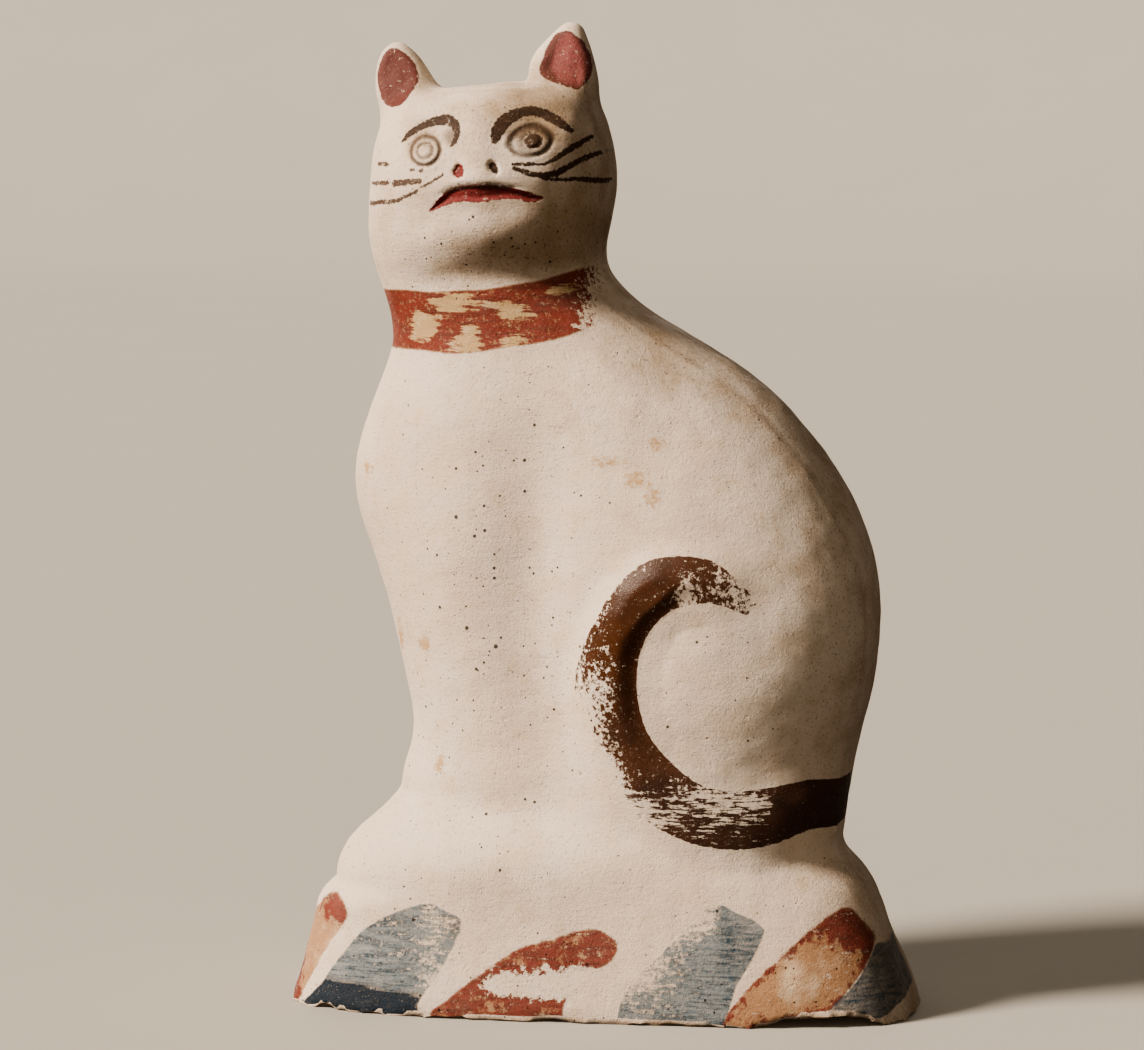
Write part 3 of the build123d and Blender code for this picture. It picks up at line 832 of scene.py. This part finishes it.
def painted_plaster():
    """Old cast plaster with its whiting, dirt, painted shade and pinholes, and the worn water paints over it.
    """
    f = Finish("painted_plaster")
    broad = f.noise(38, 3)
    mottle = f.noise(9, 5, 0.62, shift=3.1)
    ragged = f.noise(2.6, 5, 0.68, shift=7.7)
    fine = f.noise(0.9, 3, 0.6, shift=1.3)
    flecks = f.noise(1.5, 6, 0.75, shift=9.2)
    drag = f.noise(0.9, 5, 0.72, stretch=(6, 6, 1), shift=4.4)
    brush = f.noise(1.1, 4, 0.6, stretch=(7, 7, 1), shift=2.4)
    edge = f.swing(ragged, 3.0)
    fine_edge = f.swing(fine, 1.3)
    blotch = f.step(fine, 0.4, 0.6)

    # The plaster itself
    colour = f.mix(f.step(broad, 0.35, 0.65), PLASTER_PALE, PLASTER_ROSE)
    colour = f.mix(f.times(f.step(mottle, 0.42, 0.75), 0.6), colour, PLASTER_WARM)
    colour = f.mix(f.times(f.step(fine, 0.5, 0.75), 0.35), colour, PLASTER_WARM)
    # Dirt with painted shade: the stored mask darkens creases, hollows and the sides turned from the light as
    # well as dirty places
    grime_and_shade = f.stored("grime_and_shade")
    uneven = f.add(f.swing(mottle, 1.1), f.swing(fine, 0.3))
    dirt_and_shade = f.step(f.add(grime_and_shade, uneven), 0.1, 1.15)
    colour = f.mix(f.times(dirt_and_shade, 0.8), colour, PLASTER_DUSKY_BROWN)
    specks = f.step(f.noise(0.8, 5, 0.75, shift=5.5), 0.55, 0.66)
    specks = f.times(specks, f.math("MULTIPLY_ADD", grime_and_shade, 0.66, 0.4))
    colour = f.mix(specks, colour, PLASTER_DARK)
    stain = f.step(f.add(f.stored("stain"), f.math("MULTIPLY_ADD", ragged, 3.2, -1.7), fine_edge), 0.05, 0.75)
    colour = f.mix(f.times(stain, 0.8), colour, PLASTER_STAIN)
    indoors = f.stored("indoors")
    colour = f.mix(f.times(indoors, f.math("MULTIPLY_ADD", mottle, 0.5, 0.35)), colour, PLASTER_DUSKY_BROWN)

    # Painted shade in the brow hollows beside the eyes
    brow_hollow_shade = f.step(f.add(f.stored("brow_shade"), f.times(edge, 0.12)), 0.25, 1.0)
    colour = f.mix(f.times(brow_hollow_shade, 0.7), colour, PLASTER_DARK)

    # The paints, each with where it lies, how far it has flaked, and its two shades
    flaked = f.step(flecks, 0.60, 0.66)
    crackle = f.step(flecks, 0.56, 0.62)
    thin = f.math("ADD", f.times(fine, 0.35), f.math("MULTIPLY_ADD", brush, 0.9, 0.2), clamp=True)
    paint = 0.0

    def lay(where, ragged_by, worn, pale, deep, shade, strength=1.0, soft=0.16):
        nonlocal colour, paint
        where = f.stored(where) if isinstance(where, str) else where
        cover = f.times(f.step(f.add(where, ragged_by), -soft, soft), f.less(1.0, worn))
        colour = f.mix(f.times(cover, strength), colour, f.mix(shade, pale, deep))
        paint = f.math("MAXIMUM", paint, cover)
        return cover

    collar_torn = f.times(edge, 0.25)
    collar_gone = f.step(f.add(flecks, f.stored("collar_worn")), 0.94, 0.99)
    lay("collar", collar_torn, collar_gone, OCHRE, PLASTER_WARM, f.step(mottle, 0.5, 0.75), 0.9)
    rubbed = f.add(f.times(f.stored("collar_ochre"), -0.8), edge, f.math("MULTIPLY_ADD", brush, 9.0, -4.0))
    collar_top = f.math("MINIMUM", f.stored("collar"), rubbed)
    red_gone = f.math("MAXIMUM", collar_gone, f.times(crackle, 0.4))
    lay(collar_top, collar_torn, red_gone, COLLAR_RED, COLLAR_DEEP, f.step(brush, 0.42, 0.7), 0.95, 0.5)

    bare = f.add(f.times(f.stored("red_bare"), -1.0), f.times(edge, 3.4), 0.4)
    ground = f.math("MINIMUM", f.stored("red_stripe"), bare)
    stripe_gone = f.step(f.add(f.times(brush, 0.5), f.times(flecks, 0.5)), 0.575, 0.63)
    cloudy = f.step(mottle, 0.45, 0.8)
    lay(ground, f.times(edge, 0.45), f.times(stripe_gone, 0.5), RED_GROUND, PLASTER_WARM, cloudy, 0.9)
    thick = f.add(f.stored("red_thick"), f.swing(ragged, 1.6), f.swing(mottle, 0.8))
    red_top = f.math("MINIMUM", ground, f.math("MULTIPLY_ADD", thick, 4.0, -2.0))
    combed = f.step(brush, 0.4, 0.65)
    lay(red_top, f.times(edge, 0.8), stripe_gone, STRIPE_RED, STRIPE_DEEP, combed, 0.92, 0.7)
    blue_gone = f.step(f.add(f.times(brush, 0.45), f.times(flecks, 0.55), f.stored("blue_worn")), 0.86, 1.0)
    blue_deep = f.math("MAXIMUM", f.stored("blue_deep"), f.times(f.step(brush, 0.45, 0.62), 0.6))
    blues = f.mix(f.step(blue_deep, 0.0, 0.6), STRIPE_BLUE, STRIPE_TEAL)
    navy = f.step(f.stored("blue_deep"), 0.6, 0.95)
    blue_gone = f.times(blue_gone, f.less(1.0, f.times(navy, 0.6)))
    strength = f.math("MAXIMUM", thin, navy)
    lay("blue_stripe", f.times(edge, 0.5), blue_gone, blues, STRIPE_NAVY, navy, strength, 0.3)

    pink = f.step(f.add(f.stored("ear_pink"), edge), 0.4, 2.2)
    lay("ear_red", f.times(edge, 0.5), f.times(flaked, 0.9), EAR_RED, EAR_PINK, pink, 0.96)
    lay("mouth", fine_edge, f.times(flaked, 0.5), MOUTH_RED, STRIPE_DEEP, f.step(fine, 0.45, 0.7))

    # The tail's brown, and the fine brown lines of the face
    low = f.stored("tail_low")
    tail_flakes = f.add(f.times(flecks, f.less(1.0, f.times(low, 0.75))), f.times(drag, f.times(low, 0.75)))
    tail_gone = f.step(f.add(tail_flakes, f.stored("tail_worn")), 0.96, 0.985)
    tail_shade = f.add(f.times(f.step(mottle, 0.4, 0.7), 0.5), f.times(low, 0.5))
    brown = lay("tail", f.times(edge, 0.9), tail_gone, TAIL_BROWN, TAIL_DARK, tail_shade)
    smudge = f.step(fine, 0.35, 0.65)
    faded = f.step(fine, 0.45, 0.65)
    lay("eye_wash", f.times(edge, 0.6), f.times(crackle, 0.6), EYE_GREY, FAINT_BROWN, smudge, 0.5, 1.2)
    lay("lid_line", f.times(edge, 0.3), f.times(flaked, 0.7), BROW_BROWN, TAIL_DARK, blotch, 0.9, 0.7)
    lay("brown_line", f.times(fine_edge, 1.1), f.times(flaked, 0.75), BROW_BROWN, TAIL_DARK, blotch)
    lay("lip", fine_edge, f.times(flaked, 0.4), TAIL_DARK, BROW_BROWN, blotch, 0.85, 0.3)
    lay("brown_faint", f.times(fine_edge, 1.2), f.times(crackle, 0.9), FAINT_BROWN, BROW_BROWN, faded, 0.95)
    lay("eye_faint", f.times(edge, 0.35), f.times(crackle, 0.8), EYE_GREY, FAINT_BROWN, blotch, 0.9, 0.5)
    # The dirt with its painted shade also darkens the paints, and so do the dark specks
    colour = f.mix(f.times(f.times(dirt_and_shade, paint), 0.4), colour, PLASTER_DARK)
    colour = f.mix(f.times(f.times(specks, paint), 0.8), colour, PLASTER_DARK)
    scuffs = f.times(f.step(f.noise(0.7, 4, 0.75, shift=12.0), 0.60, 0.70), f.times(paint, 0.26))
    colour = f.mix(scuffs, colour, PLASTER_PALE)

    # Pinholes go through paint and plaster alike; their near-black colour is painted shade inside them
    pits = f.stored("pits")
    holes = f.math("MAXIMUM", f.holes(2.7, 0.24, pits, 2.0), f.holes(1.6, 0.25, pits, 8.0))
    holes = f.math("MAXIMUM", holes, f.holes(0.95, 0.24, f.times(pits, 0.85), 5.0))
    colour = f.mix(f.times(holes, 0.92), colour, PIT_DARK)

    rough = f.math("MULTIPLY_ADD", mottle, 0.16, 0.58)
    rough = f.less(rough, f.times(paint, 0.05))
    rough = f.less(rough, f.times(f.times(brown, f.add(f.stored("tail_gloss"), 0.25)), 0.30))
    height = f.add(f.times(mottle, 0.22), f.times(ragged, 0.16), f.times(fine, 0.11), f.times(paint, 0.06))
    height = f.add(height, f.times(f.noise(0.42, 4, 0.7, shift=6.6), 0.17), f.times(brush, 0.10))
    dents = f.step(f.noise(2.2, 3, 0.6, shift=14.0), 0.60, 0.72)
    crumbs = f.step(f.noise(1.1, 2, 0.5, shift=17.0), 0.64, 0.72)
    height = f.add(height, f.times(dents, -0.08), f.times(crumbs, 0.06))
    calm = f.less(1.0, f.math("MULTIPLY", brown, f.times(f.stored("tail_gloss"), 0.8), clamp=True))
    height = f.less(f.times(height, calm), f.times(holes, 0.35))
    height = f.add(height, f.times(f.times(indoors, flecks), 0.5))
    return f.finish(colour, rough, height)


def plaster_slip():
    """Raw plaster slip: never whitened, dusty, with small air bubbles and drag marks."""
    f = Finish("plaster_slip")
    broad = f.noise(16, 4)
    mottle = f.noise(4, 5, 0.65, shift=2.2)
    drag = f.noise(1.6, 4, 0.6, stretch=(1, 1, 6), shift=5.0)
    colour = f.mix(f.step(broad, 0.35, 0.65), SLIP_RAW, SLIP_DUSTY)
    colour = f.mix(f.times(f.step(mottle, 0.5, 0.75), 0.5), colour, PLASTER_DUSKY_BROWN)
    holes = f.holes(2.4, 0.26, 0.8, 6.0)
    # Painted shade: the air bubbles are coloured near black, as shade inside them
    colour = f.mix(f.times(holes, 0.8), colour, PIT_DARK)
    height = f.less(f.add(f.times(mottle, 0.35), f.times(drag, 0.30)), f.times(holes, 0.4))
    return f.finish(colour, f.math("MULTIPLY_ADD", mottle, 0.2, 0.66), height)


# ---------------------------------------------------------------- the pieces

figure = cast()
finishes = {"painted_plaster": painted_plaster(), "plaster_slip": plaster_slip()}
pieces = [
    (part_of(figure, "near_half_casting", None, -HALF_JOINT), "near_half_shell", "painted_plaster"),
    (part_of(figure, "far_half_casting", HALF_JOINT, None), "far_half_shell", "painted_plaster"),
    (part_of(figure, "slip_in_the_joint", -HALF_JOINT, HALF_JOINT), "joint_slip", "painted_plaster"),
    (smeared_bead("chest_seam_bead", "chest_bead", 31), "chest_bead", "plaster_slip"),
    (smeared_bead("back_seam_bead", "back_bead", 37), "back_bead", "plaster_slip"),
]
bpy.data.objects.remove(figure)
for piece, node, slot in pieces:
    piece.data.materials.clear()
    piece.data.materials.append(finishes[slot])
    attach(piece, "root")
    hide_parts(node)


# ---------------------------------------------------------------- the floor, the light and the camera

def studio_floor():
    """A pale floor that sweeps up into a plain wall far behind."""
    bm = bmesh.new()
    bmesh.ops.create_grid(bm, x_segments=1, y_segments=1, size=20)
    for v in bm.verts:
        v.co.y += WALL_BEHIND - 20
    back = [e for e in bm.edges if all(v.co.y > 0 for v in e.verts)]
    raised = bmesh.ops.extrude_edge_only(bm, edges=back)["geom"]
    bmesh.ops.translate(bm, verts=[g for g in raised if isinstance(g, bmesh.types.BMVert)], vec=(0, 0, 8))
    foot = [e for e in bm.edges if len(e.link_faces) == 2]
    bmesh.ops.bevel(bm, geom=foot, offset=1.0, segments=16, profile=0.5, affect="EDGES", material=-1)
    bmesh.ops.recalc_face_normals(bm, faces=bm.faces)
    floor = from_bmesh("floor", bm)
    floor.data.shade_smooth()
    f = Finish("pale_floor")
    colour = f.mix(f.noise(90, 3), linear((170, 173, 168)), linear((166, 168, 163)))
    floor.data.materials.append(f.finish(colour, 0.85, f.times(f.noise(2.0, 2), 0.05)))
    floor.visible_diffuse = False
    floor.visible_glossy = False


def look_at(obj, target):
    way = target - obj.location
    obj.rotation_euler = way.to_track_quat("-Z", "Y").to_euler()


def around(azimuth, elevation):
    """The direction at an azimuth, from the near side toward the back, and an elevation, in degrees."""
    a, e = math.radians(azimuth), math.radians(elevation)
    return Vector((math.sin(a) * math.cos(e), -math.cos(a) * math.cos(e), math.sin(e)))


def window_light(name, azimuth, elevation, spread, power, colour):
    """A wide even light from one direction."""
    data = bpy.data.lights.new(name, "SUN")
    data.angle = math.radians(spread)
    data.energy = power
    data.color = colour
    light = bpy.data.objects.new(name, data)
    bpy.context.scene.collection.objects.link(light)
    light.location = TARGET + around(azimuth, elevation) * 2
    look_at(light, TARGET)


TARGET = Vector((-0.0112, 0, 0.131))
WALL_BEHIND = 4.0
studio_floor()
window_light("key", -60, 35, 14, 10.6, (1.0, 0.775, 0.60))
window_light("fill", 10, 25, 60, 0.5, (1.0, 0.74, 0.52))
window_light("behind", -165, 14, 60, 3.2, (1.0, 0.80, 0.64))
world = bpy.data.worlds.new("studio")
world.use_nodes = True
world.node_tree.nodes["Background"].inputs["Color"].default_value = (1.0, 0.72, 0.48, 1)
world.node_tree.nodes["Background"].inputs["Strength"].default_value = 0.07
bpy.context.scene.world = world

lens = bpy.data.cameras.new("camera")
lens.lens = 147.1
lens.sensor_width = 36
lens.clip_end = 100
camera = bpy.data.objects.new("camera", lens)
bpy.context.scene.collection.objects.link(camera)
camera.location = TARGET + around(9, 6.5) * 1.3
look_at(camera, TARGET)
bpy.context.scene.camera = camera
